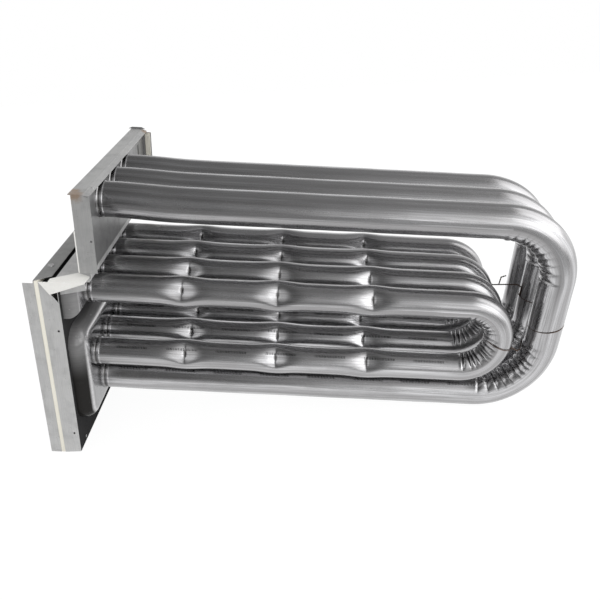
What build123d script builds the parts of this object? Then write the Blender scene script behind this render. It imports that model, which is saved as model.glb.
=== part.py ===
"""Tubular furnace heat exchanger: three burner tubes, four dimpled tubes, header boxes and panels."""
import math
import os

from build123d import *

os.makedirs("parts", exist_ok=True)

# Frame: X runs along the tubes, Z is up, the origin is the centre of the flue outlet
# on the outer face of the rear cover, which is the plane x = 0.

# Sheet metal and clearances
sheet = 1.2
hole_sides = 8
screw_sides = 6
tube_wall = 1.2
fit_gap = 0.3
flat_tolerance = 0.001

# Tube rows
tube_pitch = 73.5
burner_tube_count = 3
dimpled_tube_count = 4

# Burner tubes
burner_tube_r = 28.6
burner_upper_z = 149.0
burner_lower_z = -187.5
burner_bend_r = 109.0
burner_drop_gap = 37.35
burner_sides = 16
burner_folds_per_bend = 6

# Dimpled tubes
dimpled_tube_r = 23.8
dimpled_upper_z = 7.0
dimpled_bend_r = 61.75
dimpled_run = 629.0
dimpled_sides = 14
dimpled_folds = 7

# Folds on the inner side of the bends
fold_depth = 4.0
fold_crest = 0.8

# Dimple stations on each straight run
station_inset = 155.0
station_spacing = 157.0
station_count = 3
station_half_length = 34.0
station_pinch = 9.5
station_pinch_reach = 9.0
station_swell = 4.2

# Beads where the tubes seat on the plates
bead_height = 2.2
bead_width = 4.0

# Rear cover
cover_side_margin = 8.9
cover_top_margin = 1.7
cover_foot = 57.0
cover_side_flange = 16.8
cover_flange_drop = 4.0
outlet_r = 30.0
outlet_sides = 24
outlet_screw_y = 84.0
outlet_screw_z = 60.0
outlet_screw_hole_r = 2.2

# Header panel and its gasket
gasket_thickness = 6.8
gasket_width = 14.0
header_depth = 28.4
header_notch_x = 27.4
header_notch_z = 38.0
header_hole_r = 2.0
header_flange_hole_inset = 7.6
header_flange_hole_upper_drop = 89.0
header_flange_hole_lower_rise = 44.0
header_plate_hole_inset = 32.4
header_plate_hole_rise = 11.0

# Pressed boxes
box_depth = 28.1
box_side_margin = 30.45
box_edge_r = 22.0
box_plan_r = 34.0
box_edge_steps = 4
box_plan_steps = 4
box_opening_inset = 18.5
outlet_box_below = 7.2
outlet_box_above = 13.5
outlet_box_opening_lower_inset = 4.0
outlet_box_opening_upper_inset = 6.3
return_box_below = 23.9
return_box_above = 40.7
return_box_opening_inset = 18.0
cavity_chamfer = 18.0
cavity_plan_chamfer = 26.0

# Top strip of the header box
strip_depth = 24.0
strip_mitre = 18.5
rivet_inset = 53.4
rivet_x = 10.0
rivet_r = 3.4
rivet_height = 1.8

# Burner panel
panel_offset = 22.5
panel_front_inset = 17.0
panel_back_reach = 128.5
panel_lift = 9.5
panel_head = 6.4
panel_front_flange_rear = 18.0
panel_front_flange_front = 9.5
panel_front_flange_drop = 6.0
panel_top_flange = 22.0
panel_lip = 8.0
panel_lip_drop = 3.5
panel_back_lip = 16.0
panel_slot_reach = 64.4
panel_slot_width = 3.0
panel_slot_head = 9.0
panel_slot_height = 47.0
panel_hole_r = 2.0
panel_hole_inset = 4.5
panel_hole_rise = 54.0
lip_screw_inset = 38.4
lip_screw_r = 2.8
lip_screw_height = 1.6

# Step sheet and its gaskets
step_left_lap = 6.4
step_riser_rise = 38.0
step_apron_drop = 26.0
step_apron_end = 9.0
step_apron_rise = 10.0
flap_thickness = 2.0
flap_left_x = 9.0
flap_tip_x = 24.0
flap_tip_drop = 21.5
flap_back_left_inset = 8.4
flap_back_end = 27.0
flap_back_inset = 32.4
flap_back_right_end = 5.0
flap_back_right_inset = 21.4
flap_right_end = 7.0
edge_gasket_width = 2.2
edge_gasket_depth = 4.0
edge_gasket_height = 69.5
lip_gasket_width = 10.0
lip_gasket_thickness = 2.0
lip_gasket_margin = 2.0

# Tie wires
wire = 2.0
wire_ring_gap = 0.2
front_wire_rise = 21.75
front_wire_turn = 93.0
rear_wire_rise = 28.75
rear_wire_turn = 62.0
wire_bend_slack = 0.9

# Cover screws
cover_screw_head_r = 4.6
cover_screw_head = 3.2
cover_screw_inset = 9.0

# Derived positions along the tubes
header_front_x = sheet + gasket_thickness
header_face_x = header_front_x + header_depth
box_face_x = header_face_x + box_depth
panel_x = box_face_x + panel_offset
dimpled_bend_x = box_face_x + dimpled_run
dimpled_end_x = dimpled_bend_x + dimpled_bend_r + dimpled_tube_r
burner_drop_x = dimpled_end_x + burner_drop_gap + burner_tube_r
station_first_x = box_face_x + station_inset

# Derived heights
dimpled_lower_z = dimpled_upper_z - 2 * dimpled_bend_r
bend_mid_z = dimpled_upper_z - dimpled_bend_r
outlet_box_bottom_z = dimpled_upper_z - dimpled_tube_r - outlet_box_below
outlet_box_top_z = dimpled_upper_z + dimpled_tube_r + outlet_box_above
outlet_box_opening_bottom_z = outlet_box_bottom_z + outlet_box_opening_lower_inset
outlet_box_opening_top_z = outlet_box_top_z - outlet_box_opening_upper_inset
return_box_bottom_z = burner_lower_z - burner_tube_r - return_box_below
return_box_top_z = dimpled_lower_z + dimpled_tube_r + return_box_above
return_box_opening_bottom_z = return_box_bottom_z + return_box_opening_inset
return_box_opening_top_z = return_box_top_z - return_box_opening_inset
baffle_z = (outlet_box_bottom_z + return_box_top_z) / 2
cover_bottom_z = return_box_bottom_z - cover_foot
cover_top_z = outlet_box_top_z + cover_top_margin
cover_flange_top_z = cover_top_z - cover_flange_drop
step_z = cover_top_z - sheet
panel_bottom_z = cover_top_z + panel_lift
panel_top_z = burner_upper_z + burner_tube_r + panel_head
panel_front_flange_top_z = panel_top_z - panel_front_flange_drop

# Derived widths
burner_ys = [tube_pitch * (i - (burner_tube_count - 1) / 2) for i in range(burner_tube_count)]
dimpled_ys = [tube_pitch * (i - (dimpled_tube_count - 1) / 2) for i in range(dimpled_tube_count)]
box_half_width = dimpled_ys[-1] + dimpled_tube_r + box_side_margin
box_opening_half_width = box_half_width - box_opening_inset
cover_half_width = box_half_width + cover_side_margin
step_half_width = box_half_width + sheet + fit_gap
panel_front_y = panel_front_inset - cover_half_width
panel_back_y = burner_ys[-1] + burner_tube_r + panel_back_reach
panel_slot_y = burner_ys[-1] + burner_tube_r + panel_slot_reach


def finish(part, label):
    """Name a finished piece and write its STEP file."""
    part.label = label
    export_step(part, f"parts/{label}.step")


def ring_points(radius, sides, fold=0.0, pinch=0.0, swell=0.0):
    """Corners of one tube section; local +y is the outer side of the bend."""
    points = []
    for k in range(sides):
        angle = 2 * math.pi * (k + 0.5) / sides
        inner_side = max(0.0, -math.sin(angle))
        r = radius - fold * inner_side
        px = r * math.cos(angle)
        py = (r + swell * abs(math.sin(angle))) * math.sin(angle)
        dent = pinch * math.exp(-((py / station_pinch_reach) ** 2))
        points.append((px - math.copysign(dent, px), py))
    return points


def tube_plane(x, y, z, turn):
    """Section plane of a tube whose run has turned down by so many degrees from +X."""
    a = math.radians(turn)
    return Plane(origin=(x, y, z), x_dir=(0, 1, 0), z_dir=(math.cos(a), 0, -math.sin(a)))


def bend_stops(centre_x, centre_z, radius, first, last, folds):
    """Section stops round a bend: crest and valley in turn, plain at both ends."""
    stops = []
    steps = 2 * folds
    for k in range(1, steps):
        turn = first + (last - first) * k / steps
        a = math.radians(turn)
        fold = fold_depth if k % 2 else -fold_crest
        x = centre_x + radius * math.sin(a)
        z = centre_z + radius * math.cos(a)
        stops.append((x, z, turn, dict(fold=fold)))
    return stops


def mouth_stops(x, z, turn):
    """Bead and taper at a tube mouth that seats on a plate at x."""
    way = 1 if turn == 0 else -1
    stops = [(x, z, turn, dict(bead=bead_height)), (x + bead_width, z, turn, dict())]
    return stops if way == 1 else stops[::-1]


def run_stops(z, turn):
    """Dimple stations of one straight run, in the order of travel."""
    stops = []
    for i in range(station_count):
        x = station_first_x + i * station_spacing
        stops.append((x - station_half_length, z, turn, dict()))
        stops.append((x, z, turn, dict(pinch=station_pinch, swell=station_swell)))
        stops.append((x + station_half_length, z, turn, dict()))
    return stops if turn == 0 else stops[::-1]


def facets(first, second):
    """Flat faces between two rings of corners: one where the four corners lie in a plane, else two."""
    faces = []
    for k in range(len(first)):
        a, b, c, d = first[k - 1], first[k], second[k], second[k - 1]
        normal = (b - a).cross(d - a).normalized()
        if abs(normal.dot(c - a)) < flat_tolerance:
            outlines = [(a, b, c, d)]
        else:
            outlines = [(a, b, c), (a, c, d)]
        faces += [Face(Wire.make_polygon(corners, close=True)) for corners in outlines]
    return faces


def shell_between(rings):
    """Closed solid through rings of corners, capped at both ends."""
    skin = [Face(Wire.make_polygon(ring, close=True)) for ring in (rings[0], rings[-1])]
    for first, second in zip(rings, rings[1:]):
        skin += facets(first, second)
    return Solid(Shell(skin))


def tube(stops, y, radius, sides, mouths, mouth_depth):
    """Build a tube through its stops and open its two mouths."""
    rings = []
    for x, z, turn, form in stops:
        bead = form.get("bead", 0.0)
        shape = {key: value for key, value in form.items() if key != "bead"}
        section = tube_plane(x, y, z, turn)
        corners = ring_points(radius + bead, sides, **shape)
        rings.append([section.from_local_coords(Vector(u, v, 0)) for u, v in corners])
    with BuildPart() as body:
        add(shell_between(rings))
        for x, z in mouths:
            with BuildSketch(tube_plane(x, y, z, 0)):
                Polygon(*ring_points(radius - tube_wall, sides), align=None)
            extrude(amount=mouth_depth, mode=Mode.SUBTRACT)
    return body.part


# Burner tubes
burner_bend_x = burner_drop_x - burner_bend_r
burner_stops = mouth_stops(panel_x, burner_upper_z, 0)
burner_stops.append((burner_bend_x, burner_upper_z, 0, dict()))
burner_stops += bend_stops(
    burner_bend_x, burner_upper_z - burner_bend_r, burner_bend_r, 0, 90, burner_folds_per_bend
)
burner_stops.append((burner_drop_x, burner_upper_z - burner_bend_r, 90, dict()))
burner_stops.append((burner_drop_x, burner_lower_z + burner_bend_r, 90, dict()))
burner_stops += bend_stops(
    burner_bend_x, burner_lower_z + burner_bend_r, burner_bend_r, 90, 180, burner_folds_per_bend
)
burner_stops.append((burner_bend_x, burner_lower_z, 180, dict()))
burner_stops += mouth_stops(box_face_x, burner_lower_z, 180)
burner_mouths = [(panel_x, burner_upper_z), (box_face_x, burner_lower_z)]
burner_bore_length = burner_bend_x - panel_x - burner_tube_r
for number, y in enumerate(burner_ys, start=1):
    burner_tube = tube(
        burner_stops, y, burner_tube_r, burner_sides, burner_mouths, burner_bore_length
    )
    finish(burner_tube, f"burner_tube_{number}")

# Dimpled tubes
dimpled_stops = mouth_stops(box_face_x, dimpled_upper_z, 0)
dimpled_stops += run_stops(dimpled_upper_z, 0)
dimpled_stops.append((dimpled_bend_x, dimpled_upper_z, 0, dict()))
dimpled_stops += bend_stops(dimpled_bend_x, bend_mid_z, dimpled_bend_r, 0, 180, dimpled_folds)
dimpled_stops.append((dimpled_bend_x, dimpled_lower_z, 180, dict()))
dimpled_stops += run_stops(dimpled_lower_z, 180)
dimpled_stops += mouth_stops(box_face_x, dimpled_lower_z, 180)
dimpled_mouths = [(box_face_x, dimpled_upper_z), (box_face_x, dimpled_lower_z)]
dimpled_bore_length = station_first_x - station_half_length - box_face_x
for number, y in enumerate(dimpled_ys, start=1):
    dimpled_tube = tube(
        dimpled_stops, y, dimpled_tube_r, dimpled_sides, dimpled_mouths, dimpled_bore_length
    )
    finish(dimpled_tube, f"dimpled_tube_{number}")

# Rear cover
cover_height = cover_top_z - cover_bottom_z
cover_mid_z = (cover_top_z + cover_bottom_z) / 2
cover_side_height = cover_flange_top_z - cover_bottom_z
with BuildPart() as rear_cover:
    with BuildSketch(Plane.YZ):
        with Locations((0, cover_mid_z)):
            Rectangle(2 * cover_half_width, cover_height)
        RegularPolygon(outlet_r, outlet_sides, mode=Mode.SUBTRACT)
        with GridLocations(outlet_screw_y, outlet_screw_z, 2, 2):
            Circle(outlet_screw_hole_r, mode=Mode.SUBTRACT)
    extrude(amount=sheet)
    for side in (-1, 1):
        with Locations((-cover_side_flange / 2, side * (cover_half_width - sheet / 2), cover_bottom_z)):
            Box(
                cover_side_flange, sheet, cover_side_height,
                align=(Align.CENTER, Align.CENTER, Align.MIN),
            )
    with Locations((-cover_side_flange / 2, 0, cover_bottom_z)):
        Box(
            cover_side_flange, 2 * cover_half_width, sheet,
            align=(Align.CENTER, Align.CENTER, Align.MIN),
        )
finish(rear_cover.part, "rear_cover")

# Cover gasket, a frame between the cover and the edges of the header panel
with BuildPart() as cover_gasket:
    with BuildSketch(Plane.YZ.offset(sheet)):
        with Locations((0, cover_mid_z)):
            Rectangle(2 * cover_half_width, cover_height)
            Rectangle(
                2 * (cover_half_width - gasket_width), cover_height - 2 * gasket_width,
                mode=Mode.SUBTRACT,
            )
        with Locations((0, baffle_z)):
            Rectangle(2 * cover_half_width, gasket_width)
    extrude(amount=gasket_thickness)
finish(cover_gasket.part, "cover_gasket")

# Header panel, a tray with its plate toward the tubes
header_plate_x = header_face_x - sheet
with BuildPart() as header_panel:
    with BuildSketch(Plane.YZ.offset(header_plate_x)):
        with Locations((0, (cover_bottom_z + step_z) / 2)):
            Rectangle(2 * cover_half_width, step_z - cover_bottom_z)
        with Locations((0, (outlet_box_opening_bottom_z + outlet_box_opening_top_z) / 2)):
            Rectangle(
                2 * box_opening_half_width, outlet_box_opening_top_z - outlet_box_opening_bottom_z,
                mode=Mode.SUBTRACT,
            )
        with Locations((0, (return_box_opening_bottom_z + return_box_opening_top_z) / 2)):
            Rectangle(
                2 * box_opening_half_width, return_box_opening_top_z - return_box_opening_bottom_z,
                mode=Mode.SUBTRACT,
            )
        plate_hole_y = header_plate_hole_inset - cover_half_width
        with Locations((plate_hole_y, cover_bottom_z + header_plate_hole_rise)):
            RegularPolygon(header_hole_r, hole_sides, mode=Mode.SUBTRACT)
    extrude(amount=sheet)
    for side in (-1, 1):
        inner_y = side * cover_half_width - (sheet if side > 0 else 0)
        with BuildSketch(Plane.XZ.offset(-inner_y)):
            with BuildLine():
                Polyline(
                    (header_front_x, cover_bottom_z),
                    (header_face_x, cover_bottom_z),
                    (header_face_x, cover_top_z - header_notch_z),
                    (header_face_x - header_notch_x, cover_top_z),
                    (header_front_x, cover_top_z),
                    close=True,
                )
            make_face()
            if side < 0:
                for z in (
                    cover_top_z - header_flange_hole_upper_drop,
                    cover_bottom_z + header_flange_hole_lower_rise,
                ):
                    with Locations((header_face_x - header_flange_hole_inset, z)):
                        RegularPolygon(header_hole_r, hole_sides, mode=Mode.SUBTRACT)
        extrude(amount=-sheet)
    with Locations((header_front_x, 0, cover_bottom_z)):
        Box(
            header_depth, 2 * cover_half_width, sheet,
            align=(Align.MIN, Align.CENTER, Align.MIN),
        )
finish(header_panel.part, "header_panel")

# Chamber baffle, a shelf behind the header panel between its two rows of openings
baffle_depth = header_plate_x - header_front_x - fit_gap
with BuildPart() as chamber_baffle:
    with Locations((header_front_x, 0, baffle_z)):
        Box(
            baffle_depth, 2 * (cover_half_width - sheet - fit_gap), sheet,
            align=(Align.MIN, Align.CENTER, Align.CENTER),
        )
    with Locations((header_plate_x, 0, baffle_z)):
        Box(
            sheet, 2 * box_opening_half_width, gasket_width - sheet,
            align=(Align.MAX, Align.CENTER, Align.CENTER),
        )
finish(chamber_baffle.part, "chamber_baffle")

# Outlet box over the upper row of dimpled tubes, rounded at the ends and square above and below
outlet_box_height = outlet_box_top_z - outlet_box_bottom_z
with BuildPart() as outlet_box:
    with BuildSketch(Plane.XY.offset(outlet_box_bottom_z)):
        with Locations((header_face_x, 0)):
            Rectangle(box_depth, 2 * box_half_width, align=(Align.MIN, Align.CENTER))
        fillet(vertices().group_by(Axis.X)[-1], box_edge_r)
    extrude(amount=outlet_box_height)
    with BuildSketch(Plane.XY.offset(outlet_box_bottom_z + sheet)):
        with Locations((header_face_x, 0)):
            Rectangle(
                box_depth - sheet, 2 * (box_half_width - sheet), align=(Align.MIN, Align.CENTER)
            )
        chamfer(vertices().group_by(Axis.X)[-1], cavity_chamfer)
    extrude(amount=outlet_box_height - 2 * sheet, mode=Mode.SUBTRACT)
    for y in dimpled_ys:
        with BuildSketch(tube_plane(box_face_x, y, dimpled_upper_z, 0)):
            Polygon(*ring_points(dimpled_tube_r - tube_wall, dimpled_sides), align=None)
        extrude(amount=-2 * sheet, mode=Mode.SUBTRACT)
finish(outlet_box.part, "outlet_box")

# Return box, deep drawn, over the lower dimpled row and the burner row
return_box_height = return_box_top_z - return_box_bottom_z
return_box_mid_z = (return_box_top_z + return_box_bottom_z) / 2


def box_outline(x, inset):
    """Corners of the return box's outline at one depth, drawn in by so much all round."""
    corners = []
    for quarter, (side_y, side_z) in enumerate(((1, 1), (-1, 1), (-1, -1), (1, -1))):
        centre_y = side_y * (box_half_width - box_plan_r)
        centre_z = return_box_mid_z + side_z * (return_box_height / 2 - box_plan_r)
        for step in range(box_plan_steps + 1):
            a = math.pi / 2 * (quarter + step / box_plan_steps)
            r = box_plan_r - inset
            corners.append(Vector(x, centre_y + r * math.cos(a), centre_z + r * math.sin(a)))
    return corners


box_rings = [box_outline(header_face_x, 0)]
for step in range(box_edge_steps + 1):
    a = math.pi / 2 * step / box_edge_steps
    level = box_face_x - box_edge_r * (1 - math.sin(a))
    box_rings.append(box_outline(level, box_edge_r * (1 - math.cos(a))))
with BuildPart() as return_box:
    add(shell_between(box_rings))
    with BuildSketch(Plane.YZ.offset(header_face_x)):
        with Locations((0, return_box_mid_z)):
            Rectangle(2 * (box_half_width - sheet), return_box_height - 2 * sheet)
        chamfer(vertices(), cavity_plan_chamfer)
    extrude(amount=box_depth - sheet - cavity_chamfer, mode=Mode.SUBTRACT)
    for level, inset in ((box_face_x - sheet - cavity_chamfer, 0), (box_face_x - sheet, cavity_chamfer)):
        with BuildSketch(Plane.YZ.offset(level)):
            with Locations((0, return_box_mid_z)):
                Rectangle(
                    2 * (box_half_width - sheet - inset), return_box_height - 2 * (sheet + inset)
                )
            chamfer(vertices(), cavity_plan_chamfer - inset / 2)
    loft(ruled=True, mode=Mode.SUBTRACT)
    for y in dimpled_ys:
        with BuildSketch(tube_plane(box_face_x, y, dimpled_lower_z, 0)):
            Polygon(*ring_points(dimpled_tube_r - tube_wall, dimpled_sides), align=None)
        extrude(amount=-2 * sheet, mode=Mode.SUBTRACT)
    for y in burner_ys:
        with BuildSketch(tube_plane(box_face_x, y, burner_lower_z, 0)):
            Polygon(*ring_points(burner_tube_r - tube_wall, burner_sides), align=None)
        extrude(amount=-2 * sheet, mode=Mode.SUBTRACT)
finish(return_box.part, "return_box")

# Top strip of the header box, mitred at both ends
with BuildPart() as top_strip:
    with BuildSketch(Plane.XY.offset(cover_top_z)):
        with BuildLine():
            Polyline(
                (0, -cover_half_width),
                (strip_depth, -cover_half_width + strip_mitre),
                (strip_depth, cover_half_width - strip_mitre),
                (0, cover_half_width),
                close=True,
            )
        make_face()
    extrude(amount=sheet)
finish(top_strip.part, "top_strip")

# Rivet of the top strip
with BuildPart() as strip_rivet:
    with BuildSketch(Plane.XY.offset(cover_top_z + sheet)):
        with Locations((rivet_x, rivet_inset - cover_half_width)):
            RegularPolygon(rivet_r, hole_sides)
    extrude(amount=rivet_height)
finish(strip_rivet.part, "strip_rivet")

# Burner panel: plate, front flange, top flange to the rear, and a raised lip toward the tubes
panel_width = panel_back_y - panel_front_y
panel_mid_y = (panel_back_y + panel_front_y) / 2
panel_height = panel_top_z - panel_bottom_z
with BuildPart() as burner_panel:
    with BuildSketch(Plane.YZ.offset(panel_x - sheet)):
        with Locations((panel_mid_y, (panel_top_z + panel_bottom_z) / 2)):
            Rectangle(panel_width, panel_height)
        for y in burner_ys:
            with Locations((y, burner_upper_z)):
                Polygon(
                    *ring_points(burner_tube_r - tube_wall, burner_sides),
                    align=None, mode=Mode.SUBTRACT,
                )
        with Locations((panel_slot_y, panel_top_z - panel_slot_head)):
            Rectangle(
                panel_slot_width, panel_slot_height,
                align=(Align.CENTER, Align.MAX), mode=Mode.SUBTRACT,
            )
    extrude(amount=sheet)
    with BuildSketch(Plane.XZ.offset(-panel_front_y - sheet)):
        with Locations((panel_x - panel_front_flange_rear, panel_bottom_z)):
            Rectangle(
                panel_front_flange_rear + panel_front_flange_front,
                panel_front_flange_top_z - panel_bottom_z,
                align=(Align.MIN, Align.MIN),
            )
        with Locations(
            (panel_x + panel_front_flange_front - panel_hole_inset, panel_bottom_z + panel_hole_rise)
        ):
            RegularPolygon(panel_hole_r, hole_sides, mode=Mode.SUBTRACT)
    extrude(amount=sheet)
    with Locations((panel_x, panel_mid_y, panel_top_z)):
        Box(panel_top_flange, panel_width, sheet, align=(Align.MAX, Align.CENTER, Align.MAX))
    with BuildSketch(Plane.XZ.offset(-panel_front_y)):
        with BuildLine():
            Polyline(
                (panel_x - sheet, panel_top_z),
                (panel_x + panel_lip, panel_top_z - panel_lip_drop),
                (panel_x + panel_lip, panel_top_z - panel_lip_drop - sheet),
                (panel_x - sheet, panel_top_z - sheet),
                close=True,
            )
        make_face()
    extrude(amount=-panel_width)
    with Locations((panel_x, panel_back_y, panel_bottom_z)):
        Box(
            panel_back_lip, sheet, panel_front_flange_top_z - panel_bottom_z,
            align=(Align.MIN, Align.MAX, Align.MIN),
        )
finish(burner_panel.part, "burner_panel")

# Screw on the lip
with BuildPart() as lip_screw:
    lip_tilt = math.degrees(math.atan2(panel_lip_drop, panel_lip + sheet))
    lip_mid_x = panel_x + panel_lip / 2
    lip_run = (lip_mid_x - panel_x + sheet) / (panel_lip + sheet)
    lip_mid_z = panel_top_z - panel_lip_drop * lip_run
    lip_a = math.radians(lip_tilt)
    with BuildSketch(
        Plane(origin=(lip_mid_x, panel_front_y + lip_screw_inset, lip_mid_z), x_dir=(0, 1, 0),
              z_dir=(math.sin(lip_a), 0, math.cos(lip_a)))
    ):
        RegularPolygon(lip_screw_r, hole_sides)
    extrude(amount=lip_screw_height)
finish(lip_screw.part, "lip_screw")

# Step sheet: shelf on top of the header panel, riser behind the burner panel, apron in front
step_left_x = header_face_x - step_left_lap
step_apron_right_x = panel_x - step_apron_end
riser_x = panel_x - 2 * sheet
with BuildPart() as step_sheet:
    with Locations((step_left_x, 0, step_z)):
        Box(
            panel_x - sheet - step_left_x, 2 * step_half_width, sheet,
            align=(Align.MIN, Align.CENTER, Align.MIN),
        )
    with Locations((riser_x, panel_front_y + sheet + fit_gap, step_z)):
        Box(
            sheet, step_half_width - panel_front_y - sheet - fit_gap, step_riser_rise,
            align=(Align.MIN, Align.MIN, Align.MIN),
        )
    with BuildSketch(Plane.XZ.offset(step_half_width - sheet)):
        with BuildLine():
            Polyline(
                (header_face_x + fit_gap, step_z + sheet),
                (header_face_x + fit_gap, step_z + sheet - step_apron_drop),
                (step_apron_right_x, step_z + sheet - step_apron_drop + step_apron_rise),
                (step_apron_right_x, step_z + sheet),
                close=True,
            )
        make_face()
    extrude(amount=sheet)
finish(step_sheet.part, "step_sheet")

# Fibre gasket folded over the front end of the step sheet
with BuildPart() as step_gasket:
    with BuildSketch(Plane.XY.offset(cover_top_z)):
        with BuildLine():
            Polyline(
                (strip_depth + fit_gap, -cover_half_width - flap_thickness),
                (strip_depth + fit_gap, flap_back_left_inset - cover_half_width),
                (panel_x - flap_back_end, flap_back_inset - cover_half_width),
                (panel_x - flap_back_right_end, flap_back_right_inset - cover_half_width),
                (panel_x - flap_right_end, -cover_half_width - flap_thickness),
                close=True,
            )
        make_face()
    extrude(amount=flap_thickness)
    with BuildSketch(Plane.XZ.offset(cover_half_width)):
        with BuildLine():
            Polyline(
                (flap_left_x, cover_top_z),
                (flap_tip_x, cover_top_z - flap_tip_drop),
                (panel_x - flap_right_end, cover_top_z),
                close=True,
            )
        make_face()
    extrude(amount=flap_thickness)
finish(step_gasket.part, "step_gasket")

# Gasket strip on the rear edge of the burner panel's front flange
with BuildPart() as edge_gasket:
    with Locations((panel_x - panel_front_flange_rear, panel_front_y, panel_bottom_z)):
        Box(
            edge_gasket_width, edge_gasket_depth, edge_gasket_height,
            align=(Align.MAX, Align.MIN, Align.MIN),
        )
finish(edge_gasket.part, "edge_gasket")

# Gasket strip on the back lip of the burner panel
with BuildPart() as lip_gasket:
    with Locations((panel_x + panel_back_lip - lip_gasket_margin, panel_back_y - sheet, panel_bottom_z)):
        Box(
            lip_gasket_width, lip_gasket_thickness,
            panel_front_flange_top_z - panel_bottom_z - lip_gasket_margin,
            align=(Align.MAX, Align.MAX, Align.MIN),
        )
finish(lip_gasket.part, "lip_gasket")

# Cover screws, hex heads on the outer face of the rear cover
cover_screw_y = cover_half_width - cover_screw_inset
cover_screw_upper_z = cover_top_z - cover_screw_inset
cover_screw_lower_z = cover_bottom_z + cover_screw_inset
with BuildPart() as cover_screws:
    for z in (cover_screw_upper_z, cover_mid_z, cover_screw_lower_z):
        for y in (-cover_screw_y, cover_screw_y):
            with BuildSketch(Plane.YZ):
                with Locations((y, z)):
                    RegularPolygon(cover_screw_head_r, screw_sides)
            extrude(amount=-cover_screw_head)
finish(cover_screws.part, "cover_screws")


def wire_ring(plane, radius, sides):
    """Square wire wrapped once round a tube in the given section plane."""
    with BuildPart() as ring:
        with BuildSketch(plane):
            Polygon(*ring_points(radius + wire_ring_gap + wire, sides), align=None)
            Polygon(*ring_points(radius + wire_ring_gap, sides), align=None, mode=Mode.SUBTRACT)
        extrude(amount=wire / 2, both=True)
    return ring.part


def wire_link(start, end):
    """Straight run of square wire between two points."""
    first, last = Vector(*start), Vector(*end)
    way = last - first
    with BuildPart() as link:
        with BuildSketch(Plane(origin=first, z_dir=way)):
            Rectangle(wire, wire)
        extrude(amount=way.length)
    return link.part


# Tie wires between the vertical runs and the dimpled bends
bend_wire_r = dimpled_tube_r + wire_bend_slack
for label, burner_y, dimpled_y, rise, turn in (
    ("tie_wire_front", burner_ys[0], dimpled_ys[0], front_wire_rise, front_wire_turn),
    ("tie_wire_rear", burner_ys[1], dimpled_ys[2], rear_wire_rise, rear_wire_turn),
):
    way_x, way_z = math.sin(math.radians(turn)), math.cos(math.radians(turn))
    ring_z = bend_mid_z + rise
    ring_x = dimpled_bend_x + dimpled_bend_r * way_x
    ring_mid_z = bend_mid_z + dimpled_bend_r * way_z
    reach = bend_wire_r * math.cos(math.pi / dimpled_sides) + wire_ring_gap + wire / 2
    link_start = (ring_x + reach * way_x, dimpled_y, ring_mid_z + reach * way_z)
    link_end = (burner_drop_x - burner_tube_r - wire_ring_gap - wire / 2, burner_y, ring_z)
    with BuildPart() as tie_wire:
        add(wire_ring(tube_plane(burner_drop_x, burner_y, ring_z, 90), burner_tube_r, burner_sides))
        add(wire_ring(tube_plane(ring_x, dimpled_y, ring_mid_z, turn), bend_wire_r, dimpled_sides))
        add(wire_link(link_start, link_end))
    finish(tie_wire.part, label)
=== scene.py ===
"""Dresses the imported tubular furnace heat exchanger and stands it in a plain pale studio."""
import sys

import logging
import math
from collections.abc import Callable, Iterator
from contextlib import contextmanager
from dataclasses import dataclass, field
from enum import Enum

import bpy
import numpy as np
from mathutils import Matrix, Vector


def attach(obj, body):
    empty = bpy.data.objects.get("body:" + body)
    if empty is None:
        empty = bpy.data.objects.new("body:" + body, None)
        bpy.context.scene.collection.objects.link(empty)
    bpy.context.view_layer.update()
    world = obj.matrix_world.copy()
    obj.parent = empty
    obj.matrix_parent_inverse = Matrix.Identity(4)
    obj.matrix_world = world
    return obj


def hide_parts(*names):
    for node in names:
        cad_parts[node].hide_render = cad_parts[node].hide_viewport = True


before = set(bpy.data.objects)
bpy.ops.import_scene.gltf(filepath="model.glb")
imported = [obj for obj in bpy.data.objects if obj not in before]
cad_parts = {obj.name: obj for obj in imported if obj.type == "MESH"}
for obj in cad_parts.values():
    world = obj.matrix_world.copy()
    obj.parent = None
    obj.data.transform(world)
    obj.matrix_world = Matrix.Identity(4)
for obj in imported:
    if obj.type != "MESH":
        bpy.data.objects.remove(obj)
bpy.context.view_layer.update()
LOG = logging.getLogger("heat_exchanger")

Piece = bpy.types.Object
Material = bpy.types.Material
Node = bpy.types.Node
Outputs = bpy.types.NodeOutputs
Tree = bpy.types.NodeTree
Socket = bpy.types.NodeSocket
Point = tuple[float, float, float]
Colour = tuple[float, float, float, float]
Ramp = tuple[float, float, float, float]  # from low, from high, to low, to high
Ring = tuple[float, float, float]  # height, place and half width
Section = tuple[np.ndarray, np.ndarray]

QUARTER = math.pi / 2
TOUCH = 1e-5  # closer than this counts as the same place, in metres
ONE_TURN = 0.16  # height of one turn round a tube in its UV map


class Pick(Enum):
    """What a selection is made of."""

    VERTS = "VERT"
    FACES = "FACE"


class Look(Enum):
    """The finishes, by the names of their materials."""

    TUBE = "tube_steel"
    SHEET = "panel_steel"
    RUSTY = "panel_steel_rusty"
    # painted shade: a darker copy of the panel steel
    BACK = "panel_back"
    # painted shadow: a near-black sheet finish
    SHADOW_PLATE = "plate_steel"
    # painted shade: a darker copy of the panel steel
    STRIP = "strip_steel"
    DRAWN = "drawn_steel"
    BRIGHT = "fastener_steel"
    CREAM = "cream_gasket"
    WHITE = "white_fibre"
    WIRE = "dark_wire"
    FLOOR = "pale_floor"


Looks = dict[Look, Material]


@dataclass(frozen=True)
class Layout:
    """Driving dimensions that the tubes and the boxes share, in metres."""

    pitch: float = 0.0735
    burner_upper: float = 0.149
    burner_lower: float = -0.1875
    dimpled_upper: float = 0.007
    dimpled_lower: float = -0.1165
    seat_x: float = 0.0645

    def row(self, count: int) -> list[float]:
        """Sideways places of a centred row of tubes."""
        return [self.pitch * (number - (count - 1) / 2) for number in range(count)]


# ---------------- bench


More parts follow.
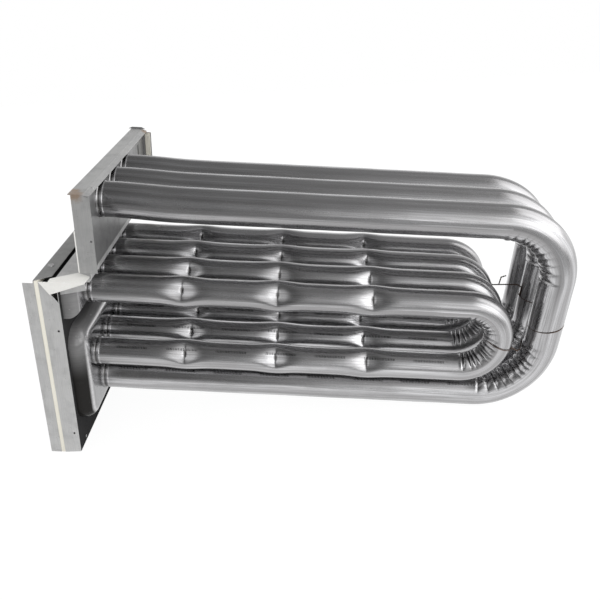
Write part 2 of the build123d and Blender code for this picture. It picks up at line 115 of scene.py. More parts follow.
class Bench:
    """Modelling operators, used on one piece at a time."""

    @staticmethod
    def pick(piece: Piece) -> None:
        """Select one piece alone and make it active."""
        bpy.ops.object.select_all(action="DESELECT")
        piece.select_set(True)
        bpy.context.view_layer.objects.active = piece

    @staticmethod
    @contextmanager
    def editing(
        piece: Piece, kind: Pick = Pick.VERTS, test: Callable[[Vector], bool] | None = None
    ) -> Iterator[None]:
        """Open a piece in edit mode, and leave edit mode again.

        Args:
            piece: The piece to work on.
            kind: What the selection is made of.
            test: Says whether a vertex or the middle of a face is wanted; without it, all are.

        Yields:
            Nothing; the open piece holds the selection.
        """
        Bench.pick(piece)
        if test:
            mesh = piece.data
            for group in (mesh.vertices, mesh.edges, mesh.polygons):
                group.foreach_set("select", [False] * len(group))
            for part in mesh.vertices if kind is Pick.VERTS else mesh.polygons:
                part.select = test(part.co if kind is Pick.VERTS else part.center)
        bpy.ops.object.mode_set(mode="EDIT")
        bpy.ops.mesh.select_mode(type=kind.value)
        if not test:
            bpy.ops.mesh.select_all(action="SELECT")
        yield
        bpy.ops.object.mode_set(mode="OBJECT")

    @staticmethod
    def settle(piece: Piece, name: str) -> Piece:
        """Name a piece and put its place into its mesh."""
        Bench.pick(piece)
        piece.name = piece.data.name = name
        bpy.ops.object.transform_apply(location=True, rotation=True, scale=True)
        return piece

    @staticmethod
    def unit(
        shape: Callable[..., set[str]], name: str, middle: Point, size: Point, turn: float = 0.0
    ) -> Piece:
        """Add a unit primitive and bring it to its place and size."""
        bpy.ops.object.select_all(action="DESELECT")
        shape(size=1, location=middle, rotation=(0, turn, 0))
        bpy.context.object.scale = size
        return Bench.settle(bpy.context.object, name)

    @staticmethod
    def extrude(x: float, y: float, z: float) -> None:
        """Extrude the selection by a distance along each axis."""
        bpy.ops.mesh.extrude_region_move(TRANSFORM_OT_translate={"value": (x, y, z)})

    @staticmethod
    def modify(piece: Piece, kind: str, **settings) -> None:
        """Add a modifier and apply it."""
        Bench.pick(piece)
        modifier = piece.modifiers.new(kind.lower(), kind)
        for key, value in settings.items():
            setattr(modifier, key, value)
        bpy.ops.object.modifier_apply(modifier=modifier.name)

    @staticmethod
    def outward(piece: Piece) -> None:
        """Merge doubles and turn all faces outward."""
        with Bench.editing(piece):
            bpy.ops.mesh.remove_doubles(threshold=1e-6)
            bpy.ops.mesh.normals_make_consistent(inside=False)

    @staticmethod
    def smooth(piece: Piece, angle: float = 35.0) -> None:
        """Shade smooth below an edge angle in degrees."""
        Bench.pick(piece)
        bpy.ops.object.shade_smooth_by_angle(angle=math.radians(angle))

    @staticmethod
    def twin(piece: Piece) -> Piece:
        """Copy a piece with a mesh of its own."""
        Bench.pick(piece)
        bpy.ops.object.duplicate(linked=False)
        return bpy.context.object

    @staticmethod
    def from_node(node: str, edge: float) -> Piece:
        """Copy a CAD node and round its edges a little, as folded sheet has them.

        Args:
            node: The CAD node's name.
            edge: Width of the rounding, in metres.

        Returns:
            The rounded copy.
        """
        copy = Bench.twin(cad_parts[node])
        copy.parent = None
        for key in [key for key in copy.keys() if key.startswith("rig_")]:
            del copy[key]
        copy.data.materials.clear()
        with Bench.editing(Bench.settle(copy, f"{node}_dressed")):
            bpy.ops.mesh.customdata_custom_splitnormals_clear()
            bpy.ops.mesh.remove_doubles(threshold=TOUCH)
            bpy.ops.mesh.dissolve_limited(angle_limit=math.radians(1.0))
        Bench.modify(
            copy, "BEVEL", width=edge, segments=2, limit_method="ANGLE",
            angle_limit=math.radians(30), use_clamp_overlap=True,
        )
        Bench.smooth(copy)
        Bench.modify(copy, "WEIGHTED_NORMAL", keep_sharp=True, weight=90)
        return copy

    @staticmethod
    def hand_over(piece: Piece, slot: str, *nodes: str) -> None:
        """Make a finished piece ride on the body and stand for its CAD nodes."""
        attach(piece, "root")
        if nodes:
            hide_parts(*nodes)
        LOG.info("%s: %d faces", piece.name, len(piece.data.polygons))


# ---------------- finishes


class Graph:
    """Short hand for wiring one node tree."""

    def __init__(self, tree: Tree) -> None:
        """Keep the tree to wire."""
        self.tree = tree

    def add(self, kind: str, **settings) -> Node:
        """Add a node."""
        node = self.tree.nodes.new(kind)
        for key, value in settings.items():
            setattr(node, key, value)
        return node

    def feed(self, socket: Socket, value: object) -> None:
        """Link a socket, or set its value."""
        if isinstance(value, bpy.types.NodeSocket):
            self.tree.links.new(value, socket)
        else:
            socket.default_value = value

    def wire(self, kind: str, inputs: dict[str | int, object], **settings) -> Outputs:
        """Add a node and feed its inputs."""
        node = self.add(kind, **settings)
        for key, value in inputs.items():
            self.feed(node.inputs[key], value)
        return node.outputs

    def calc(self, kind: str, a: object, b: object = 0.5, clamp: bool = False) -> Socket:
        """One math node of a kind on two values."""
        return self.wire("ShaderNodeMath", {0: a, 1: b}, operation=kind, use_clamp=clamp)[0]

    def times(self, first: object, *others: object) -> Socket:
        """Product of values."""
        for other in others:
            first = self.calc("MULTIPLY", first, other)
        return first

    def near(self, value: object, middle: float, half: float) -> Socket:
        """1 within a half width of a middle, 0 outside."""
        away = self.calc("ABSOLUTE", self.calc("SUBTRACT", value, middle))
        return self.calc("LESS_THAN", away, half)

    def span(
        self, value: object, low: object, high: object, to_low: float = 0.0, to_high: float = 1.0
    ) -> Socket:
        """Map a span of values onto another, clamped and eased."""
        ends = {"From Min": low, "From Max": high, "To Min": to_low, "To Max": to_high}
        ends["Value"] = value
        return self.wire("ShaderNodeMapRange", ends, interpolation_type="SMOOTHSTEP")[0]

    def blend(self, share: object, first: object, second: object, kind: str = "MIX") -> Socket:
        """Mix two colours by a share of the second."""
        inputs = {"Factor": share, "A": first, "B": second}
        return self.wire("ShaderNodeMix", inputs, data_type="RGBA", blend_type=kind)["Result"]

    def cover(self, base: Socket, *layers: tuple[Socket, float, Colour]) -> Socket:
        """Lay colours over a base one by one."""
        for mask, share, colour in layers:
            base = self.blend(self.times(mask, share), base, colour)
        return base

    def choose(self, share: object, first: object, second: object) -> Socket:
        """Mix two numbers by a share of the second."""
        return self.wire("ShaderNodeMix", {0: share, 2: first, 3: second}, data_type="FLOAT")[0]

    def place(self, kind: str = "Object") -> Socket:
        """Texture coordinates of a kind."""
        return self.add("ShaderNodeTexCoord").outputs[kind]

    def split(self, vector: Socket) -> Outputs:
        """The x, y and z of a vector."""
        return self.wire("ShaderNodeSeparateXYZ", {0: vector})

    def noise(
        self, vector: Socket, scale: object, detail: float = 2.0, rough: float = 0.5
    ) -> Socket:
        """Plain noise, 0 to 1."""
        inputs = {"Vector": vector, "Scale": scale, "Detail": detail, "Roughness": rough}
        return self.wire("ShaderNodeTexNoise", inputs)["Fac"]

    def effect(self, tree: Tree, **values) -> Outputs:
        """Place a shared effect with its own values."""
        inputs = {key.capitalize(): value for key, value in values.items()}
        return self.wire("ShaderNodeGroup", inputs, node_tree=tree)

    def bump(self, shader: Node, height: Socket, strength: float, distance: float) -> None:
        """Feed a height to the shader's normal."""
        inputs = {"Strength": strength, "Distance": distance, "Height": height}
        self.feed(shader.inputs["Normal"], self.wire("ShaderNodeBump", inputs)[0])


class Effects:
    """Shared effects, each a node group that is built once."""

    def __init__(self) -> None:
        """Build the groups."""
        self.grain = self._grain()
        self.cloud = self._cloud()
        self.specks = self._specks()

    @staticmethod
    def _start(
        name: str, inputs: dict[str, object], *outputs: str
    ) -> tuple[Graph, Outputs, bpy.types.NodeInputs]:
        """Start a shader node group.

        Args:
            name: The group's name.
            inputs: Name and default of each input; a tuple makes it a vector.
            *outputs: Name of each output, all of them numbers.

        Returns:
            A graph to wire the group with, what comes in, and what goes out.
        """
        tree = bpy.data.node_groups.new(name, "ShaderNodeTree")
        for label, start in inputs.items():
            kind = "NodeSocketVector" if isinstance(start, tuple) else "NodeSocketFloat"
            socket = tree.interface.new_socket(name=label, in_out="INPUT", socket_type=kind)
            socket.default_value = start
        for label in outputs:
            tree.interface.new_socket(name=label, in_out="OUTPUT", socket_type="NodeSocketFloat")
        g = Graph(tree)
        return g, g.add("NodeGroupInput").outputs, g.add("NodeGroupOutput").inputs

    @staticmethod
    def _grain() -> Tree:
        """Draw fine lines along one direction, with broader soft streaks."""
        inputs = {"Coordinates": (0, 0, 0), "Along": 12.0, "Across": 900.0}
        g, given, result = Effects._start("drawn_grain", inputs, "Fine", "Broad")
        across = given["Across"]
        scale = g.wire("ShaderNodeCombineXYZ", {0: given["Along"], 1: across, 2: across})[0]
        inputs = {0: given["Coordinates"], 1: scale}
        spread = g.wire("ShaderNodeVectorMath", inputs, operation="MULTIPLY")[0]
        g.feed(result["Fine"], g.noise(spread, 1.0, 3.0, 0.6))
        g.feed(result["Broad"], g.noise(spread, 0.16, 3.0, 0.55))
        return g.tree

    @staticmethod
    def _cloud() -> Tree:
        """Spread soft patches on Object coordinates."""
        inputs = {"Scale": 8.0, "Low": 0.35, "High": 0.65}
        g, given, result = Effects._start("soft_patches", inputs, "Mask")
        value = g.noise(g.place(), given["Scale"], 5.0, 0.62)
        g.feed(result["Mask"], g.span(value, given["Low"], given["High"]))
        return g.tree

    @staticmethod
    def _specks() -> Tree:
        """Scatter small marks on Object coordinates."""
        g, given, result = Effects._start("specks", {"Scale": 260.0, "Amount": 0.3}, "Mask")
        place = g.place()
        cells = g.wire("ShaderNodeTexVoronoi", {"Vector": place, "Scale": given["Scale"]})
        small = g.calc("LESS_THAN", cells["Distance"], 0.16)
        bare = g.calc("SUBTRACT", 1.0, given["Amount"])
        few = g.calc("GREATER_THAN", g.noise(place, 40.0), bare)
        g.feed(result["Mask"], g.times(small, few))
        return g.tree


@dataclass(frozen=True)
class Finish:
    """A finish in general: colour, gloss and how metallic it is."""

    look: Look
    tone: Colour
    shade: Colour
    rough: float
    metal: float = 1.0
    ior: float = 1.5

    def start(self) -> tuple[Material, Graph, Node]:
        """New material with a Principled shader.

        Returns:
            The material, a graph to wire it with, and the shader node.
        """
        material = bpy.data.materials.new(self.look.value)
        material.use_nodes = True
        shader = material.node_tree.nodes["Principled BSDF"]
        shader.inputs["Metallic"].default_value = self.metal
        shader.inputs["Roughness"].default_value = self.rough
        shader.inputs["IOR"].default_value = self.ior
        material.diffuse_color = self.tone
        return material, Graph(material.node_tree), shader


@dataclass(frozen=True)
class TubeSteel(Finish):
    """Drawn, welded tube with a dull aluminised skin; its grain follows the tube's UV map."""

    dust: Colour = (0.12, 0.11, 0.10, 1)
    # painted shade: the dark tone laid into creases, fold grooves and mouth grooves
    painted_groove_shade: Colour = (0.035, 0.033, 0.030, 1)
    ink: Colour = (0.015, 0.015, 0.015, 1)
    tick_place: float = -0.058
    tick_height: float = 0.0044
    tick_pitch: float = 0.0027
    tick_run: float = 0.085
    tick_start: float = 0.84

    def make(self, effects: Effects) -> Material:
        """Build the material from the shared effects."""
        material, g, shader = self.start()
        chart = g.add("ShaderNodeUVMap", uv_map="tube").outputs[0]
        grain = g.effect(effects.grain, coordinates=chart, along=7.0, across=430.0)
        cloud = g.effect(effects.cloud, scale=9.0, low=0.38, high=0.68)["Mask"]
        dust = g.effect(effects.specks, scale=420.0, amount=0.32)["Mask"]
        # painted shade in creases, fold grooves and mouth grooves, read from the skin's attribute
        groove_shade = g.add("ShaderNodeAttribute", attribute_name="groove_shade").outputs["Fac"]
        base = g.blend(g.span(grain["Broad"], 0.36, 0.66), self.shade, self.tone)
        base = g.blend(g.span(grain["Fine"], 0.45, 0.62, 0.0, 0.75), base, self.shade)
        base = g.cover(
            base, (cloud, 0.5, self.shade), (dust, 0.3, self.dust), (groove_shade, 1.0, self.painted_groove_shade),
            (self.ticks(g, chart), 1.0, self.ink),
        )
        g.feed(shader.inputs["Base Color"], base)
        rough = g.span(grain["Fine"], 0.3, 0.7, self.rough - 0.05, self.rough + 0.07)
        g.feed(shader.inputs["Roughness"], g.calc("ADD", rough, g.times(cloud, 0.07)))
        g.bump(shader, grain["Fine"], 0.55, 0.0002)
        return material

    def ticks(self, g: Graph, chart: Socket) -> Socket:
        """Mask a plain line of worn ticks along the lower half of a tube.

        Args:
            g: The material's graph.
            chart: The tube's UV map.

        Returns:
            The mask's socket.
        """
        along, around, _ = g.split(chart)
        band = g.near(around, self.tick_place, self.tick_height / 2)
        lower = g.calc("GREATER_THAN", along, self.tick_start)
        stroke, run = (
            g.calc("LESS_THAN", g.calc("FRACT", g.calc("DIVIDE", along, every)), part)
            for every, part in ((self.tick_pitch, 0.55), (self.tick_run, 0.62))
        )
        worn = g.span(g.noise(chart, 300.0), 0.3, 0.6, 0.5, 1.0)
        return g.times(band, stroke, run, lower, worn)


@dataclass(frozen=True)
class SheetSteel(Finish):
    """Aluminised sheet with mill lines and handling marks, and on some finishes painted shade and a
    painted highlight.

    Attributes:
        lines: How fine the mill lines are along each axis.
        rust: Place and reach of each rust stain.
        side_shade: Where the painted shade on a drawn box's side thins out, along x.
        highlight_edge: Where its front face begins, along x; the face is painted darker, leaving a
            painted highlight on the rounded edge.
        slot_shade: Middle and half width of painted shade in a slot opening, along y and z.
    """

    lines: Point = (1100.0, 30.0, 30.0)
    stain: float = 0.3
    rust: tuple[tuple[Point, float], ...] = ()
    # painted shade on a drawn box's side, stronger lower down
    side_shade: tuple[float, float] | None = None
    side_shade_height: Ramp = (-0.15, -0.06, 1.0, 0.66)
    # painted highlight: the front face beyond this span is painted darker than the rounded edge
    highlight_edge: tuple[float, float] = (0.0628, 0.0644)
    # painted shade in a slot opening
    slot_shade: tuple[tuple[float, float], tuple[float, float]] | None = None
    dull: Colour = (0.55, 0.55, 0.56, 1)
    speck: Colour = (0.14, 0.13, 0.12, 1)
    rust_tone: Colour = (0.36, 0.25, 0.17, 1)
    # tone of the painted shade on a box's side
    side_shade_tone: Colour = (0.024, 0.023, 0.022, 1)
    # tone of the painted shade in a slot opening
    slot_shade_tone: Colour = (0.008, 0.008, 0.008, 1)

    def make(self, effects: Effects) -> Material:
        """Build the material from the shared effects."""
        material, g, shader = self.start()
        place = g.place()
        x, y, z = g.split(place)
        lines = g.noise(g.wire("ShaderNodeMapping", {"Vector": place, "Scale": self.lines})[0], 1.0)
        cloud = g.effect(effects.cloud, scale=42.0, low=0.40, high=0.78)["Mask"]
        wide = g.effect(effects.cloud, scale=7.0, low=0.35, high=0.7)["Mask"]
        spots = g.effect(effects.specks, scale=300.0, amount=0.42)["Mask"]
        base = g.blend(g.span(lines, 0.3, 0.75, 0.0, 0.3), self.tone, self.shade)
        base = g.cover(base, (cloud, self.stain, self.shade))
        base = g.blend(g.times(wide, 0.25), base, self.dull, "MULTIPLY")
        base = g.cover(base, (spots, 0.55, self.speck))
        for middle, reach in self.rust:
            base = g.blend(self.patch(g, place, middle, reach), base, self.rust_tone)
        # Painted shade on the side of a drawn box, fading toward its front and its top.
        if self.side_shade:
            side_shaded = g.times(g.span(x, *self.side_shade, 1.0, 0.0), g.span(z, *self.side_shade_height))
            base = self.paint_shade(g, shader, base, side_shaded, self.side_shade_tone)
            # painted highlight: the front face is painted darker than the rounded edge before it
            base = g.blend(g.span(x, *self.highlight_edge, 0.0, 0.9), base, self.shade)
        # Painted shade in the slot opening.
        if self.slot_shade:
            slot_shaded = g.times(g.near(y, *self.slot_shade[0]), g.near(z, *self.slot_shade[1]))
            base = self.paint_shade(g, shader, base, slot_shaded, self.slot_shade_tone)
        g.feed(shader.inputs["Base Color"], base)
        g.feed(shader.inputs["Roughness"], g.span(cloud, 0.0, 1.0, self.rough, self.rough + 0.12))
        g.bump(shader, lines, 0.2, 0.0001)
        return material

    def paint_shade(
        self, g: Graph, shader: Node, base: Socket, mask: Socket, tone: Colour
    ) -> Socket:
        """Paint shade over a masked place with a dark tone and take its metal away."""
        g.feed(shader.inputs["Metallic"], g.calc("SUBTRACT", self.metal, mask, True))
        return g.blend(mask, base, tone)

    @staticmethod
    def patch(g: Graph, place: Socket, middle: Point, reach: float) -> Socket:
        """Mask a ragged stain round one place."""
        away = g.wire("ShaderNodeVectorMath", {0: place, 1: middle}, operation="DISTANCE")["Value"]
        ragged = g.calc("ADD", away, g.times(g.noise(place, 260.0, 4.0, 0.65), reach))
        return g.span(ragged, 0.75 * reach, 1.5 * reach, 0.8, 0.0)


@dataclass(frozen=True)
class Fibre(Finish):
    """Matt ceramic fibre felt."""

    def make(self, effects: Effects) -> Material:
        """Build the material from the shared effects."""
        material, g, shader = self.start()
        fuzz = g.noise(g.place(), 900.0, 4.0, 0.7)
        cloud = g.effect(effects.cloud, scale=45.0, low=0.35, high=0.7)["Mask"]
        base = g.blend(g.span(fuzz, 0.3, 0.7), self.shade, self.tone)
        g.feed(shader.inputs["Base Color"], g.cover(base, (cloud, 0.35, self.shade)))
        g.bump(shader, fuzz, 0.6, 0.0004)
        return material


def finishes() -> tuple[TubeSteel | SheetSteel | Fibre, ...]:
    """List the finishes of all pieces."""
    return (
        TubeSteel(Look.TUBE, (0.72, 0.72, 0.735, 1), (0.38, 0.375, 0.38, 1), 0.22),
        SheetSteel(Look.SHEET, (0.68, 0.68, 0.675, 1), (0.40, 0.40, 0.40, 1), 0.45, 0.4, stain=0.4),
        SheetSteel(
            Look.RUSTY, (0.54, 0.54, 0.535, 1), (0.34, 0.34, 0.34, 1), 0.42, 0.5, stain=0.45,
            rust=(
                ((0.075, -0.154, 0.1835), 0.016), ((0.070, -0.140, 0.1845), 0.012),
                ((0.094, 0.222, 0.178), 0.014),
            ),
        ),
        # the burner panel's tube-side faces and end tab: the panel steel painted darker as shade
        SheetSteel(
            Look.BACK, (0.30, 0.30, 0.30, 1), (0.19, 0.19, 0.19, 1), 0.36, 0.6, stain=0.5,
            # painted shade in the slot near the panel's end
            slot_shade=((0.1835, 0.005), (0.15075, 0.01475)),
        ),
        # painted shadow: near-black finish for the header panel's tube-side faces and the sheet in
        # the slit
        SheetSteel(
            Look.SHADOW_PLATE, (0.045, 0.045, 0.046, 1), (0.03, 0.03, 0.03, 1), 0.6, 0.0, 1.05, stain=0.2
        ),
        # the top strip: panel steel painted darker as shade
        SheetSteel(Look.STRIP, (0.40, 0.40, 0.395, 1), (0.26, 0.26, 0.26, 1), 0.40, 0.6, stain=0.5),
        # the drawn boxes, with painted shade on their sides and a painted highlight on their
        # rounded front edges
        SheetSteel(
            Look.DRAWN, (0.78, 0.775, 0.78, 1), (0.36, 0.36, 0.365, 1), 0.18, ior=1.15,
            lines=(30.0, 30.0, 900.0), stain=0.15, side_shade=(0.0590, 0.0626),
        ),
        SheetSteel(Look.BRIGHT, (0.80, 0.80, 0.80, 1), (0.45, 0.45, 0.45, 1), 0.25),
        Fibre(Look.CREAM, (0.96, 0.94, 0.86, 1), (0.88, 0.84, 0.72, 1), 0.95, 0.0),
        Fibre(Look.WHITE, (0.95, 0.945, 0.92, 1), (0.84, 0.83, 0.79, 1), 0.95, 0.0),
        SheetSteel(Look.WIRE, (0.14, 0.10, 0.08, 1), (0.07, 0.05, 0.04, 1), 0.45),
    )


# ---------------- tubes


def bell(value: np.ndarray, middle: float, half: float, power: float = 2.0) -> np.ndarray:
    """Bump that falls from 1 at its middle to 1/e a half width away."""
    return np.exp(-(np.abs((value - middle) / half) ** power))


def ease(share: np.ndarray) -> np.ndarray:
    """Smooth step of a share, held beyond 0 and 1."""
    share = np.clip(share, 0, 1)
    return share * share * (3 - 2 * share)


class Course:
    """Where the points of a skin lie on their tube, one row each.

    Attributes:
        s: Distance along the tube from its upper mouth.
        u: Sideways place.
        v: Outward place, away from the middle of the bends.
        share: Share of the bend that is passed, below 0 where the tube is straight.
        run: 0 on the upper run, 1 on the lower, 2 between them.
        centre: Nearest point of the centre line.
        out: Outward direction.
        groove_shade: Painted shade in the skin's creases, fold grooves and mouth grooves, 0 to 1.
    """

    def __init__(self, sideways: np.ndarray) -> None:
        """Make room for the places."""
        count = len(sideways)
        self.u = sideways.copy()
        # the third array holds painted shade for creases, fold grooves and mouth grooves
        self.s, self.v, self.groove_shade = np.zeros((3, count))
        self.centre, self.out = np.zeros((2, count, 3))
        self.share, self.run = np.full(count, -1.0), np.full(count, 2)

    @property
    def angle(self) -> np.ndarray:
        """Direction round the centre line, from sideways toward outward."""
        return np.arctan2(self.v, self.u)

    @property
    def near(self) -> np.ndarray:
        """Distance from the nearer mouth."""
        return np.minimum(self.s, self.s.max() - self.s)


@dataclass(frozen=True)
class Mouth:
    """The seat pressed into both mouths of a tube, with painted shade in the groove beside it."""

    bead_end: float = 0.0023
    bead_edge: float = 0.00032
    groove: Ring = (-0.0005, 0.0048, 0.0011)
    ridge: Ring = (0.0007, 0.0088, 0.0013)
    # painted shade: height, place and half width of a dark ring in the mouth groove
    groove_shade: Ring = (0.85, 0.0040, 0.0022)

    def rise(self, near: np.ndarray, bead: float) -> np.ndarray:
        """Height of the bead, the groove and the ridge."""
        rise = bead / (1 + np.exp((near - self.bead_end) / self.bead_edge))
        for height, place, half in (self.groove, self.ridge):
            rise += height * bell(near, place, half)
        return rise


@dataclass(frozen=True)
class Folds:
    """The folds that bending leaves on the inner wall of a bend."""

    count: int = 8
    depth: float = 0.0042
    pillow: float = 0.0022
    slant: float = 0.36
    onset: float = 0.14
    spread: float = 0.6
    fade: float = 0.04
    # how strongly shade is painted into the fold grooves
    groove_shade: float = 0.5

    def press(self, at: Course, seed: int) -> np.ndarray:
        """Fold the inner wall and paint shade into the fold grooves.

        Args:
            at: Where the points lie; its painted groove shade is set in the bends.
            seed: Which tube of the row it is.

        Returns:
            Outward shift of each point.
        """
        share, angle = at.share, at.angle
        reach = ease((-np.sin(angle) - self.onset) / self.spread)
        phase = share * self.count + self.slant * np.cos(angle) * np.sin(seed + 7 * share)
        phase += 0.14 * np.sin(share * 17 + seed) + 0.07 * np.sin(share * 41 + 2 * seed)
        size = 0.8 + 0.2 * np.sin(np.floor(phase) * 2.4 + seed * 1.9)
        wave = np.abs(np.sin(math.pi * phase))
        groove = (1 - wave) ** 1.7
        ends = np.clip(share / self.fade, 0, 1) * np.clip((1 - share) / self.fade, 0, 1)
        # painted shade, deepest in the fold grooves
        painted_groove_shade = groove ** 1.6 * np.sqrt(reach) * ends * self.groove_shade
        at.groove_shade = np.where(share >= 0, painted_groove_shade, at.groove_shade)
        lift = (groove * self.depth - wave ** 0.8 * self.pillow) * size * reach * ends
        return np.where(share >= 0, lift, 0.0)


@dataclass
class Tube:
    """One return-bend tube: its centre line lies in a plane of constant y."""

    name: str
    radius: float
    sides: int
    start_x: float
    bend_x: float
    upper_z: float
    lower_z: float
    bend_r: float
    end_x: float
    bead: float
    folds: Folds
    mouth: Mouth = Mouth()
    wall: float = 0.0012
    mouth_step: float = 0.0005
    mouth_rings: int = 26
    fold_rings: int = 10
    drop_rings: int = 8
    spacing: float = 0.02  # of the rings along the runs
    sag: float = 0.0  # how far the upper run hangs below its seat
    sag_start: float = 0.012
    sag_ramp: float = 0.12
    fat: float = 0.0  # growth of the radius away from the mouths
    fat_ramp: float = 0.04

    @property
    def drop(self) -> float:
        """Length of the straight vertical run between the bends."""
        return self.upper_z - self.lower_z - 2 * self.bend_r

    def steps(self, length: float, first: int) -> list[float]:
        """Place the rings of a run, close to each other at its mouth."""
        places = [self.mouth_step * number for number in range(first, self.mouth_rings)]
        while places[-1] + self.step_at(places[-1]) < length - 0.002:
            places.append(places[-1] + self.step_at(places[-1]))
        return places

    def step_at(self, place: float) -> float:
        """Ring spacing at one place of a run."""
        return self.spacing

    @staticmethod
    def pull(places: list[float], way: int) -> None:
        """Extrude the open rim along x to each place in turn."""
        for last, place in zip([0.0, *places], places):
            Bench.extrude(way * (place - last), 0, 0)

    def turn(self, angle: float, centre_z: float) -> None:
        """Spin the open rim round a bend."""
        bpy.ops.mesh.spin(
            steps=self.folds.count * self.fold_rings, angle=-angle,
            center=(self.bend_x, 0, centre_z), axis=(0, 1, 0),
        )

    def draw(self) -> Piece:
        """Draw the skin: extrude the run, spin the bends, extrude the way back.

        Returns:
            The open tube skin at y = 0.
        """
        bpy.ops.mesh.primitive_circle_add(
            vertices=self.sides, radius=self.radius, rotation=(0, QUARTER, 0),
            location=(self.start_x, 0, self.upper_z),
        )
        piece = Bench.settle(bpy.context.object, self.name)
        upper, lower = self.bend_x - self.start_x, self.bend_x - self.end_x
        with Bench.editing(piece):
            self.pull([*self.steps(upper, 1), upper], 1)
            if self.drop > 0:
                self.turn(QUARTER, self.upper_z - self.bend_r)
                for _ in range(self.drop_rings):
                    Bench.extrude(0, 0, -self.drop / self.drop_rings)
                self.turn(QUARTER, self.lower_z + self.bend_r)
            else:
                self.turn(2 * QUARTER, self.upper_z - self.bend_r)
            self.pull(sorted(lower - place for place in self.steps(lower, 0)), -1)
        return piece

    def locate(self, points: np.ndarray) -> Course:
        """Find where points lie along and round the tube.

        Args:
            points: One row of x, y and z for each point, about y = 0.

        Returns:
            Their course.
        """
        at = Course(points[:, 1])
        x, z = points[:, 0], points[:, 2]
        top, low = self.upper_z - self.bend_r, self.lower_z + self.bend_r
        bend = ~(x <= self.bend_x + 1e-7)
        upper = ~bend & (z > (self.upper_z + self.lower_z) / 2)
        lower = ~bend & ~upper
        first = bend & ((z > top) | (self.drop <= 0))
        second = bend & (z < low) & (self.drop > 0)
        fall = bend & ~first & ~second
        length, arc = self.bend_x - self.start_x, self.bend_r * QUARTER
        for run, mask, level, way in ((0, upper, self.upper_z, 1), (1, lower, self.lower_z, -1)):
            gone = length + 2 * arc + self.drop + self.bend_x if run else -self.start_x
            at.s[mask] = gone + way * x[mask]
            at.v[mask] = (z[mask] - level) * way
            at.centre[mask] = np.stack([x[mask], 0 * x[mask], 0 * x[mask] + level], 1)
            at.out[mask], at.run[mask] = (0, 0, way), run
        half_turn = 2 * QUARTER if self.drop <= 0 else QUARTER
        for mask, level, turned, gone in (
            (first, top, 0.0, length), (second, low, QUARTER, length + arc + self.drop)
        ):
            a = np.arctan2(x[mask] - self.bend_x, z[mask] - level)
            at.v[mask] = np.hypot(x[mask] - self.bend_x, z[mask] - level) - self.bend_r
            at.s[mask] = gone + (a - turned) * self.bend_r
            at.share[mask] = (a - turned) / half_turn
            at.out[mask] = np.stack([np.sin(a), 0 * a, np.cos(a)], 1)
            at.centre[mask] = at.out[mask] * self.bend_r + (self.bend_x, 0, level)
        far = self.bend_x + self.bend_r
        at.v[fall], at.s[fall] = x[fall] - far, length + arc + (top - z[fall])
        at.centre[fall] = np.stack([0 * z[fall] + far, 0 * z[fall], z[fall]], 1)
        at.out[fall] = (1, 0, 0)
        return at

    def work(self, piece: Piece, seed: int) -> None:
        """Press beads, folds and dents into the drawn skin and chart it.

        Args:
            piece: The drawn skin at y = 0.
            seed: Which tube of the row it is, for small differences.
        """
        mesh = piece.data
        flat = np.empty(3 * len(mesh.vertices))
        mesh.vertices.foreach_get("co", flat)
        at = self.locate(flat.reshape(-1, 3))
        u, v = self.press(at, seed)
        # painted shade for creases, fold grooves and mouth grooves, read by the tube material
        layer = mesh.attributes.new("groove_shade", "FLOAT", "POINT")
        layer.data.foreach_set("value", np.clip(at.groove_shade, 0, 1))
        placed = at.centre + at.out * v[:, None]
        placed[:, 1] = u
        placed[:, 2] -= self.sag_at(at)
        mesh.vertices.foreach_set("co", placed.ravel())
        self.chart(mesh, at)
        mesh.update()

    def sag_at(self, at: Course) -> np.ndarray:
        """Let the upper run hang below its seat, less and less round the first bend."""
        held = np.where(at.run == 0, 1.0, np.clip(at.out[:, 2], 0, 1) ** 2)
        held = np.where(at.run == 1, 0.0, held)
        return self.sag * ease((at.s - self.sag_start) / self.sag_ramp) * held

    def press(self, at: Course, seed: int) -> Section:
        """Press the mouths, the folds and the slight waves that handled tube has.

        Args:
            at: Where the points lie; its painted groove shade is set.
            seed: Which tube of the row it is.

        Returns:
            Sideways and outward places.
        """
        angle, near = at.angle, at.near
        grow = self.mouth.rise(near, self.bead) + self.fat * (1 - bell(near, 0, self.fat_ramp))
        grow += 0.00012 * np.sin(at.s * 41 + seed * 1.7 + 1.2 * np.sin(angle + seed))
        grow += 0.00010 * np.sin(at.s * 87 + seed * 2.9) * np.cos(2 * angle + seed)
        # painted shade in the mouth groove
        height, place, half = self.mouth.groove_shade
        at.groove_shade += height * bell(near, place, half)
        lift = self.folds.press(at, seed)
        return at.u + grow * np.cos(angle), at.v + grow * np.sin(angle) + lift

    @staticmethod
    def chart(mesh: bpy.types.Mesh, at: Course) -> None:
        """Give the skin a UV map: metres along the tube and the way round it.

        Args:
            mesh: The skin, all of it quads.
            at: Where its points lie.
        """
        layer = mesh.uv_layers.new(name="tube")
        corners = np.empty(len(mesh.loops), dtype=np.int32)
        mesh.loops.foreach_get("vertex_index", corners)
        around = (at.angle[corners] / (4 * QUARTER) * ONE_TURN).reshape(-1, 4)
        torn = (around.max(1) - around.min(1)) > ONE_TURN / 2
        around[torn] = np.where(around[torn] < 0, around[torn] + ONE_TURN, around[torn])
        layer.data.foreach_set("uv", np.stack([at.s[corners], around.ravel()], 1).ravel())

    def wall_in(self, piece: Piece) -> None:
        """Give the skin its wall and turn the faces outward."""
        Bench.outward(piece)
        Bench.modify(piece, "SOLIDIFY", thickness=self.wall, offset=-1.0, use_rim=True)
        Bench.smooth(piece, 50)


